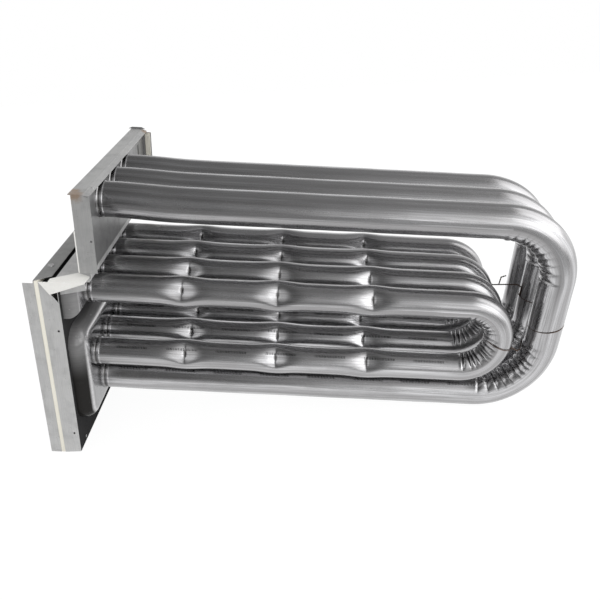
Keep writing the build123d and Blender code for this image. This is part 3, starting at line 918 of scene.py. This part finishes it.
@dataclass
class DimpledTube(Tube):
    """Narrow tube whose two runs are pinched at three stations.

    Attributes:
        stations: Distances of the dimples from the mouth.
        rings: Spacing of the rings within a distance of a station, nearest first.
        pinch: Depth of a dimple; ramp is half its length and reach half its width.
        edge: How sharply it begins.
        crease: Depth, half length and half width of the crease in its middle.
        swell: How far the tube bulges beside it, and half the bulge's length.
    """

    spacing: float = 0.010
    stations: tuple[float, ...] = (0.155, 0.312, 0.469)
    rings: tuple[tuple[float, float], ...] = ((0.006, 0.0006), (0.045, 0.0025))
    pinch: float = 0.0098
    ramp: float = 0.0200
    edge: float = 1.4
    reach: float = 0.0162
    tilt: float = math.radians(34)
    crease: tuple[float, float, float] = (0.0018, 0.0026, 0.0052)
    swell: tuple[float, float] = (0.0026, 0.030)

    def step_at(self, place: float) -> float:
        """Ring spacing, finer at the stations."""
        away = min(abs(place - station) for station in self.stations)
        return next((step for within, step in self.rings if away < within), self.spacing)

    def press(self, at: Course, seed: int) -> Section:
        """Add the pinched stations to the mouths and folds.

        Args:
            at: Where the points lie; its painted groove shade is set.
            seed: Which tube of the row it is.

        Returns:
            Sideways and outward places.
        """
        u, v = super().press(at, seed)
        place = np.where(at.run == 0, at.s, at.s.max() - at.s)
        tilt = np.where(at.run == 0, self.tilt, -self.tilt)
        cos, sin = np.cos(tilt), np.sin(tilt)
        depth, half_length, half_width = self.crease
        for number, station in enumerate(self.stations):
            away = np.where(at.run < 2, place - station, 10.0)
            across, along = u * cos - v * sin, u * sin + v * cos
            dent = self.pinch * bell(away, 0, self.ramp, self.edge) * bell(along, 0, self.reach)
            crease = bell(away, 0, half_length) * bell(along, 0, half_width, 4.0)
            # painted shade in the crease
            at.groove_shade = np.maximum(at.groove_shade, 0.95 * crease)
            dent = (dent + depth * crease) * (1.0 + 0.08 * math.sin(number * 2.1 + seed))
            across = across - np.sign(across) * np.minimum(dent, np.abs(across) * 0.6)
            along = along + self.swell[0] * bell(away, 0, self.swell[1]) * along / self.radius
            u, v = across * cos + along * sin, along * cos - across * sin
        return u, v


@dataclass
class TubeBundle:
    """The three burner tubes over the four dimpled tubes."""

    layout: Layout

    def kinds(self) -> tuple[tuple[Tube, int], ...]:
        """Describe one tube of each kind.

        Returns:
            The tube, and how many of it stand in its row.
        """
        at = self.layout
        burner = Tube(
            "burner_tube", radius=0.0286, sides=48, start_x=0.087, bend_x=0.736,
            upper_z=at.burner_upper, lower_z=at.burner_lower, bend_r=0.109, end_x=at.seat_x,
            bead=0.0016, folds=Folds(11, 0.0024, 0.0019), sag=0.0046, fat=0.0007,
        )
        dimpled = DimpledTube(
            "dimpled_tube", radius=0.0238, sides=44, start_x=at.seat_x, bend_x=0.6935,
            upper_z=at.dimpled_upper, lower_z=at.dimpled_lower, bend_r=0.06175, end_x=at.seat_x,
            bead=0.0011, folds=Folds(9, 0.0034, 0.0022),
        )
        return (burner, 3), (dimpled, 4)

    def build(self, steel: Material) -> None:
        """Draw one tube of each kind, copy it along its row and finish each.

        Args:
            steel: The tube material.
        """
        for tube, count in self.kinds():
            pattern = tube.draw()
            for number, y in enumerate(self.layout.row(count), 1):
                name = f"{tube.name}_{number}"
                piece = Bench.settle(Bench.twin(pattern), f"{name}_skin")
                tube.work(piece, number)
                tube.wall_in(piece)
                piece.location = (0, y, 0)
                Bench.settle(piece, f"{name}_skin")
                piece.data.materials.append(steel)
                Bench.hand_over(piece, "tube_steel", name)
            bpy.data.objects.remove(pattern)


# ---------------- header


@dataclass
class PressedBox:
    """Deep-drawn box that takes the tube ends, open toward the header panel."""

    name: str
    bottom: float
    top: float
    holes: tuple[Point, ...]  # place across, height and radius of each
    face_x: float
    back_x: float = 0.0364
    half_width: float = 0.1645
    plan_r: float = 0.034  # of the outline's corners
    edge_r: float = 0.022  # of the front edge
    wall: float = 0.0012

    def draw(self) -> Piece:
        """Extrude the rounded outline, round its front edge, wall it and pierce its holes.

        Returns:
            The finished shell.
        """
        middle = (self.back_x, 0, (self.bottom + self.top) / 2)
        size = (self.top - self.bottom, 2 * self.half_width, 1)
        piece = Bench.unit(bpy.ops.mesh.primitive_plane_add, self.name, middle, size, QUARTER)
        with Bench.editing(piece):
            if self.plan_r > 0:
                self.round(self.plan_r, 12, "VERTICES")
            bpy.ops.mesh.select_all(action="SELECT")
            Bench.extrude(self.face_x - self.back_x, 0, 0)
        self.round_front(piece)
        with Bench.editing(piece, Pick.FACES, lambda c: c.x < self.back_x + TOUCH):
            bpy.ops.mesh.delete(type="ONLY_FACE")
        Bench.outward(piece)
        Bench.modify(piece, "SOLIDIFY", thickness=self.wall, offset=-1.0, use_rim=True)
        for y, z, radius in self.holes:
            self.pierce(piece, y, z, radius)
        Bench.smooth(piece, 40)
        return piece

    @staticmethod
    def round(radius: float, segments: int, kind: str) -> None:
        """Bevel the selected vertices or edges."""
        bpy.ops.mesh.bevel(offset=radius, offset_type="OFFSET", segments=segments, affect=kind)

    def round_front(self, piece: Piece) -> None:
        """Round the edges of the front face."""
        with Bench.editing(piece, Pick.FACES, lambda c: c.x > self.face_x - TOUCH):
            bpy.ops.mesh.region_to_loop()
            self.round(self.edge_r, 10, "EDGES")

    def pierce(self, piece: Piece, y: float, z: float, radius: float) -> None:
        """Cut one tube hole through the front wall.

        Args:
            piece: The box.
            y: Place of the hole across.
            z: Height of the hole.
            radius: Radius of the hole.
        """
        bpy.ops.object.select_all(action="DESELECT")
        bpy.ops.mesh.primitive_cylinder_add(
            vertices=32, radius=radius, depth=0.01, location=(self.face_x, y, z),
            rotation=(0, QUARTER, 0),
        )
        punch = bpy.context.object
        Bench.modify(piece, "BOOLEAN", object=punch, operation="DIFFERENCE", solver="EXACT")
        bpy.data.objects.remove(punch)


@dataclass
class OutletBox(PressedBox):
    """The narrow box over the upper dimpled row, rounded at its two ends only."""

    plan_r: float = 0.0

    def round_front(self, piece: Piece) -> None:
        """Round only the upright front edges.

        Args:
            piece: The box.
        """
        def upright(c: Vector) -> bool:
            """Whether a vertex is on an upright front edge."""
            return c.x > self.face_x - TOUCH and abs(abs(c.y) - self.half_width) < TOUCH

        with Bench.editing(piece, Pick.VERTS, upright):
            self.round(self.edge_r, 10, "EDGES")


@dataclass
class Header:
    """Rear cover, gaskets, panels, boxes, strips and fasteners."""

    layout: Layout
    sheets: tuple[tuple[str, Look, str, float], ...] = (
        ("rear_cover", Look.SHEET, "panel_steel", 0.0005),
        ("header_panel", Look.SHEET, "panel_steel", 0.0005),
        ("chamber_baffle", Look.SHEET, "panel_steel", 0.0003),
        ("top_strip", Look.STRIP, "panel_steel", 0.0005),
        ("step_sheet", Look.SHEET, "panel_steel", 0.0005),
        ("burner_panel", Look.RUSTY, "panel_steel", 0.0005),
        ("cover_gasket", Look.CREAM, "cream_gasket", 0.0008),
        ("lip_gasket", Look.CREAM, "cream_gasket", 0.0006),
        ("edge_gasket", Look.WHITE, "white_fibre", 0.0006),
        ("step_gasket", Look.WHITE, "white_fibre", 0.0006),
        ("cover_screws", Look.BRIGHT, "fastener_steel", 0.0005),
        ("strip_rivet", Look.BRIGHT, "fastener_steel", 0.0005),
        ("lip_screw", Look.BRIGHT, "fastener_steel", 0.0003),
    )
    # tube-side faces of these panels take a darker finish: painted shade
    shaded_fronts: dict[str, Look] = field(
        default_factory=lambda: {"header_panel": Look.SHADOW_PLATE, "burner_panel": Look.BACK}
    )
    flange_band: tuple[float, float] = (0.1765, 0.1787)
    flange_end: float = -0.150
    flange_lift: float = 0.0048
    rivet_size: float = 1.5
    # a near-black sheet in the slit behind the top strip: painted shadow
    shadow_shelf_middle: Point = (0.022, 0, 0.0385)
    shadow_shelf_size: Point = (0.026, 0.320, 1)
    shadow_shelf_sheet: float = 0.001
    shadow_shelf_lip: float = 0.008
    tab_middle: Point = (0.0760, 0.2297, 0.18570)
    tab_size: Point = (0.0340, 0.0010, 0.0036)
    tab_taper: float = 0.55
    fold_edge: float = 0.0003
    dimpled_hole: float = 0.0226
    burner_hole: float = 0.0274
    outlet_span: tuple[float, float] = (-0.024, 0.0443)
    return_span: tuple[float, float] = (-0.240, -0.052)

    def build(self, looks: Looks) -> None:
        """Build each piece of the header and give it its finish.

        Args:
            looks: The materials.
        """
        for node, look, slot, edge in self.sheets:
            piece = Bench.from_node(node, edge)
            piece.data.materials.append(looks[look])
            self.alter(piece, node, looks)
            Bench.hand_over(piece, slot, node)
        # the slit's sheet is painted shadow; the end tab takes the burner panel's painted-shade
        # finish
        for piece, look in ((self.shadow_shelf(), Look.SHADOW_PLATE), (self.tab(), Look.BACK)):
            Bench.modify(piece, "BEVEL", width=self.fold_edge, segments=2)
            piece.data.materials.append(looks[look])
            Bench.hand_over(piece, "panel_steel")
        for box, node in zip(self.boxes(), ("outlet_box", "return_box")):
            piece = box.draw()
            piece.data.materials.append(looks[Look.DRAWN])
            Bench.hand_over(piece, "drawn_steel", node)

    def alter(self, piece: Piece, node: str, looks: Looks) -> None:
        """Give a copied piece what its CAD node leaves out.

        Args:
            piece: The copy.
            node: The CAD node that it copies.
            looks: The materials.
        """
        # the large +x faces get the darker finish as painted shade
        if node in self.shaded_fronts:
            piece.data.materials.append(looks[self.shaded_fronts[node]])
            for face in piece.data.polygons:
                if face.normal.x > 0.9 and face.area > 0.002:
                    face.material_index = 1
        if node == "burner_panel":
            low, high = self.flange_band
            for vertex in piece.data.vertices:
                if low < vertex.co.z < high and vertex.co.y < self.flange_end:
                    vertex.co.z += self.flange_lift
        if node == "strip_rivet":
            with Bench.editing(piece):
                bpy.ops.transform.resize(value=(self.rivet_size,) * 3)

    def shadow_shelf(self) -> Piece:
        """Fold the dark sheet that closes the slit behind the top strip, as painted shadow.

        Returns:
            The shelf.
        """
        plane = bpy.ops.mesh.primitive_plane_add
        piece = Bench.unit(plane, "painted_shadow_shelf", self.shadow_shelf_middle, self.shadow_shelf_size)
        with Bench.editing(piece):
            Bench.extrude(0, 0, -self.shadow_shelf_sheet)
        back = self.shadow_shelf_middle[0] - self.shadow_shelf_size[0] / 2
        with Bench.editing(piece, Pick.FACES, lambda c: c.x < back + self.shadow_shelf_sheet / 2):
            Bench.extrude(0, 0, -self.shadow_shelf_lip)
        Bench.outward(piece)
        return piece

    def tab(self) -> Piece:
        """Turn up the small lip at the far end of the burner panel's top flange; its dark finish is
        painted shade.
        """
        cube = bpy.ops.mesh.primitive_cube_add
        piece = Bench.unit(cube, "end_tab", self.tab_middle, self.tab_size)
        with Bench.editing(piece, Pick.VERTS, lambda c: c.z > self.tab_middle[2]):
            bpy.ops.transform.resize(value=(self.tab_taper, 1, 1))
        return piece

    def boxes(self) -> tuple[PressedBox, PressedBox]:
        """Describe the outlet box and the return box.

        Returns:
            Both, with the holes for their tubes.
        """
        at = self.layout
        upper, lower, burner = (
            tuple((y, z, radius) for y in at.row(count))
            for count, z, radius in (
                (4, at.dimpled_upper, self.dimpled_hole),
                (4, at.dimpled_lower, self.dimpled_hole),
                (3, at.burner_lower, self.burner_hole),
            )
        )
        return (
            OutletBox("outlet_box_dressed", *self.outlet_span, upper, at.seat_x),
            PressedBox("return_box_dressed", *self.return_span, lower + burner, at.seat_x),
        )


# ---------------- wires


@dataclass(frozen=True)
class Wrap:
    """One turn of wire round a tube, in the plane of one direction and the y axis."""

    centre: Point
    out: Point
    radius: float
    start: float  # angle where the wobble of the hand-wrapped turn begins


@dataclass(frozen=True)
class Tie:
    """One tie: its node, its turns round the tubes and the routes of its twisted lengths."""

    node: str
    wraps: tuple[Wrap, ...]
    routes: tuple[tuple[Point, ...], ...]


FRONT_TIE = Tie(
    "tie_wire_front",
    (
        Wrap((0.845, -0.0735, -0.0425), (0.972, 0, 0.235), 0.0300, 0.4),
        Wrap((0.7552, -0.11025, -0.0605), (0.96, 0, -0.28), 0.0252, 1.1),
    ),
    (
        (
            (0.7790, -0.1150, -0.0690), (0.7930, -0.1080, -0.0790), (0.8070, -0.0850, -0.0890),
            (0.8165, -0.0600, -0.0890), (0.8250, -0.0490, -0.0870), (0.8420, -0.0425, -0.0700),
            (0.8500, -0.0430, -0.0430),
        ),
    ),
)
REAR_TIE = Tie(
    "tie_wire_rear",
    (
        Wrap((0.845, 0.0, -0.0265), (1, 0, 0), 0.0297, 2.0),
        Wrap((0.7500, 0.03675, -0.0330), (0.935, 0, 0.354), 0.0252, 0.2),
    ),
    (
        (
            (0.7735, 0.0330, -0.0240), (0.7900, 0.0180, -0.0150), (0.8100, 0.0020, -0.0060),
            (0.8150, -0.0040, -0.0080), (0.8150, -0.0040, -0.0265),
        ),
        ((0.7830, 0.0240, -0.0180), (0.7865, 0.0300, -0.0060), (0.7960, 0.0290, -0.0015)),
    ),
)


@dataclass
class TieWires:
    """Dark annealed wires that tie the dimpled bends to the vertical runs."""

    gauge: float = 0.0007
    lay: float = 0.0085
    step: float = 0.0012
    wrap_points: int = 18
    slack: float = 1.015
    wobble: tuple[float, float] = (0.0003, 0.0007)

    def strand(self, name: str, points: list[Point], closed: bool = False) -> Piece:
        """Draw one length of wire through points.

        Args:
            name: The piece's name.
            points: Where the wire goes.
            closed: Whether it runs back to its start.

        Returns:
            The wire as a mesh.
        """
        bpy.ops.curve.primitive_nurbs_path_add()
        wire = bpy.context.object
        data = wire.data
        data.splines.clear()
        spline = data.splines.new("NURBS")
        spline.points.add(len(points) - 1)
        for point, place in zip(spline.points, points):
            point.co = (*place, 1.0)
        spline.order_u = 3
        spline.use_cyclic_u = closed
        spline.use_endpoint_u = not closed
        data.bevel_depth = self.gauge
        data.bevel_resolution = 3
        data.resolution_u = 8
        data.use_fill_caps = True
        Bench.pick(wire)
        bpy.ops.object.convert(target="MESH")
        return Bench.settle(bpy.context.object, name)

    def ring(self, wrap: Wrap) -> list[Point]:
        """Wrap one turn of wire round a tube.

        Args:
            wrap: The turn.

        Returns:
            The points that it runs through.
        """
        points = []
        wide, high = self.wobble
        for number in range(self.wrap_points):
            a = wrap.start + 4 * QUARTER * number / self.wrap_points
            r = self.slack * wrap.radius + wide * math.sin(3 * a)
            point = Vector(wrap.centre) + Vector(wrap.out) * r * math.cos(a)
            lift = high * math.sin(2 * a + wrap.start)
            points.append((point.x, point.y + r * math.sin(a), point.z + lift))
        return points

    def twisted(self, route: tuple[Point, ...], half: float) -> list[Point]:
        """Lead one strand of a twisted pair along a route.

        Args:
            route: Corner points of the route.
            half: Angle of the strand in the pair.

        Returns:
            The points that it runs through.
        """
        points = []
        gone = 0.0
        stops = [Vector(point) for point in route]
        for first, last in zip(stops, stops[1:]):
            length = (last - first).length
            way = (last - first).normalized()
            aside = Vector((0, 0, 1)) if abs(way.z) < 0.9 else Vector((1, 0, 0))
            side = way.cross(aside).normalized()
            other = way.cross(side)
            count = max(2, int(length / self.step))
            for number in range(count):
                far = length * number / count
                a = half + 4 * QUARTER * (gone + far) / self.lay
                around = side * math.cos(a) + other * math.sin(a)
                points.append(tuple(first + way * far + self.gauge * around))
            gone += length
        return points

    def build(self, finish: Material) -> None:
        """Build both ties, each joined from its turns and twisted lengths.

        Args:
            finish: The wire material.
        """
        for tie in (FRONT_TIE, REAR_TIE):
            runs = [(self.ring(wrap), True) for wrap in tie.wraps]
            runs += [
                (self.twisted(route, half), False)
                for route in tie.routes for half in (0.0, 2 * QUARTER)
            ]
            parts = [
                self.strand(f"{tie.node}_{number}", points, closed)
                for number, (points, closed) in enumerate(runs)
            ]
            Bench.pick(parts[0])
            for part in parts[1:]:
                part.select_set(True)
            bpy.ops.object.join()
            piece = Bench.settle(bpy.context.object, f"{tie.node}_dressed")
            Bench.smooth(piece, 60)
            piece.data.materials.clear()
            piece.data.materials.append(finish)
            Bench.hand_over(piece, "dark_wire", tie.node)


# ---------------- studio


@dataclass(frozen=True)
class Lamp:
    """A large soft lamp."""

    name: str
    place: Point
    aim: Point
    size: float
    power: float

    def hang(self) -> None:
        """Hang the lamp and turn it to what it aims at."""
        data = bpy.data.lights.new(self.name, "AREA")
        data.energy, data.size = self.power, self.size
        lamp = bpy.data.objects.new(self.name, data)
        bpy.context.scene.collection.objects.link(lamp)
        lamp.location = self.place
        away = Vector(self.place) - Vector(self.aim)
        lamp.rotation_euler = away.to_track_quat("Z", "Y").to_euler()


@dataclass(frozen=True)
class Wall:
    """A pale side of the mirrored room: its glow, and how it fades along directions."""

    glow: float
    fades: tuple[tuple[str, Ramp], ...]


@dataclass
class Studio:
    """Floor, backdrop light and camera.

    Attributes:
        paper_lit: How the paper's glow grows along y, and paper_left along x.
        seen_share: Share of glow in what the camera sees, the rest being lit paper.
        mirror_share: The same for glossy and transmission rays.
        walls: The back, the right and the left of the room.
        corner: Share of y that turns the right wall toward the camera.
        room: Glow of the room itself, along x, and diffuse for diffuse rays.
    """

    floor_z: float = -0.298
    floor_tilt: float = 6.1
    paper_reach: float = 3.0
    paper_tone: Colour = (0.92, 0.92, 0.92, 1)
    paper_lit: Ramp = (-0.85, -0.38, 0.0, 1.0)
    paper_left: Ramp = (-0.10, 0.16, 0.45, 1.0)
    paper_glow: tuple[float, float] = (0.18, 1.0)
    paper_seen: float = 1.06
    seen_share: float = 0.9
    mirror_share: float = 0.76
    walls: tuple[Wall, ...] = (
        Wall(0.72, (
            ("y", (0.35, 0.8, 0.0, 1.0)), ("z", (0.15, 0.62, 1.0, 0.0)),
            ("x", (0.25, 0.6, 1.0, 0.45)),
        )),
        Wall(0.95, (("corner", (0.34, 0.68, 0.0, 1.0)), ("z", (0.25, 0.9, 1.0, 0.45)))),
        Wall(0.8, (("x", (-0.68, -0.42, 1.0, 0.0)), ("z", (0.5, 0.95, 1.0, 0.3)))),
    )
    corner: float = 0.40
    room: Ramp = (-0.35, 0.35, 0.13, 0.42)
    diffuse: float = 0.85
    camera_place: Point = (0.40504, -1.06003, 0.52158)
    camera_yaw: float = -0.009
    camera_pitch: float = 0.501
    camera_roll: float = 0.053
    lens: float = 39.08
    lamps: tuple[Lamp, ...] = (
        Lamp("key", (2.3, 0.2, 1.5), (0.45, 0, 0), 1.8, 14.0),
        Lamp("fill", (1.9, -1.25, 0.75), (0.7, 0, 0), 1.1, 5.0),
    )

    def build(self) -> None:
        """Set up the whole studio."""
        bpy.context.scene.view_settings.view_transform = "Standard"
        self.place_camera()
        self.lay_floor()
        self.light_world()
        for lamp in self.lamps:
            lamp.hang()

    def place_camera(self) -> None:
        """Put the camera at the photograph's viewing angle."""
        data = bpy.data.cameras.new("camera")
        data.lens, data.sensor_width = self.lens, 36.0
        data.clip_start, data.clip_end = 0.01, 200.0
        camera = bpy.data.objects.new("camera", data)
        bpy.context.scene.collection.objects.link(camera)
        turn = (
            Matrix.Rotation(self.camera_yaw, 4, "Z")
            @ Matrix.Rotation(QUARTER - self.camera_pitch, 4, "X")
            @ Matrix.Rotation(self.camera_roll, 4, "Z")
        )
        camera.matrix_world = Matrix.Translation(self.camera_place) @ turn
        bpy.context.scene.camera = camera

    def lay_floor(self) -> None:
        """Lay a sheet of pale paper under the header's foot and the lower bends."""
        size = (2 * self.paper_reach, 2 * self.paper_reach, 1)
        tilt = -math.radians(self.floor_tilt)
        plane = bpy.ops.mesh.primitive_plane_add
        floor = Bench.unit(plane, "floor", (0, 0, self.floor_z), size, tilt)
        paper = Finish(Look.FLOOR, self.paper_tone, self.paper_tone, 0.9, 0.0)
        material, g, shader = paper.start()
        g.feed(shader.inputs["Base Color"], self.paper_tone)
        rays = g.add("ShaderNodeLightPath").outputs
        x, y, _ = g.split(g.place())
        near = g.times(g.span(y, *self.paper_lit), g.span(x, *self.paper_left))
        lit = g.span(near, 0.0, 1.0, *self.paper_glow)
        strength = g.calc("MAXIMUM", g.times(rays["Is Camera Ray"], self.paper_seen), lit)
        glow = g.wire("ShaderNodeEmission", {"Color": (1, 1, 1, 1), "Strength": strength})[0]
        mirrored = g.calc("MAXIMUM", rays["Is Glossy Ray"], rays["Is Transmission Ray"])
        seen = g.times(rays["Is Camera Ray"], self.seen_share)
        share = g.calc("MAXIMUM", seen, g.times(mirrored, self.mirror_share))
        both = g.wire("ShaderNodeMixShader", {0: share, 1: shader.outputs[0], 2: glow})[0]
        g.feed(material.node_tree.nodes["Material Output"].inputs["Surface"], both)
        floor.data.materials.append(material)

    def light_world(self) -> None:
        """White where the camera looks; mirrored, a dim room with a pale back wall and sides."""
        world = bpy.data.worlds.new("studio")
        bpy.context.scene.world = world
        world.use_nodes = True
        g = Graph(world.node_tree)
        x, y, z = g.split(g.place("Generated"))
        corner = g.calc("SUBTRACT", x, g.times(y, self.corner))
        along = {"x": x, "y": y, "z": z, "corner": corner}
        level = g.span(x, *self.room)
        for wall in self.walls:
            masks = (g.span(along[name], *ramp) for name, ramp in wall.fades)
            level = g.calc("ADD", level, g.times(wall.glow, *masks))
        rays = g.add("ShaderNodeLightPath").outputs
        level = g.choose(rays["Is Diffuse Ray"], level, self.diffuse)
        glow = world.node_tree.nodes["Background"]
        g.feed(glow.inputs["Color"], (1, 1, 1, 1))
        g.feed(glow.inputs["Strength"], g.choose(rays["Is Camera Ray"], level, 1.0))


def main() -> None:
    """Build the studio and the exchanger, piece by piece."""
    logging.basicConfig(level=logging.INFO, format="%(message)s", stream=sys.stdout)
    Studio().build()
    effects = Effects()
    looks = {finish.look: finish.make(effects) for finish in finishes()}
    layout = Layout()
    Header(layout).build(looks)
    TubeBundle(layout).build(looks[Look.TUBE])
    TieWires().build(looks[Look.WIRE])


if __name__ == "__main__":
    main()
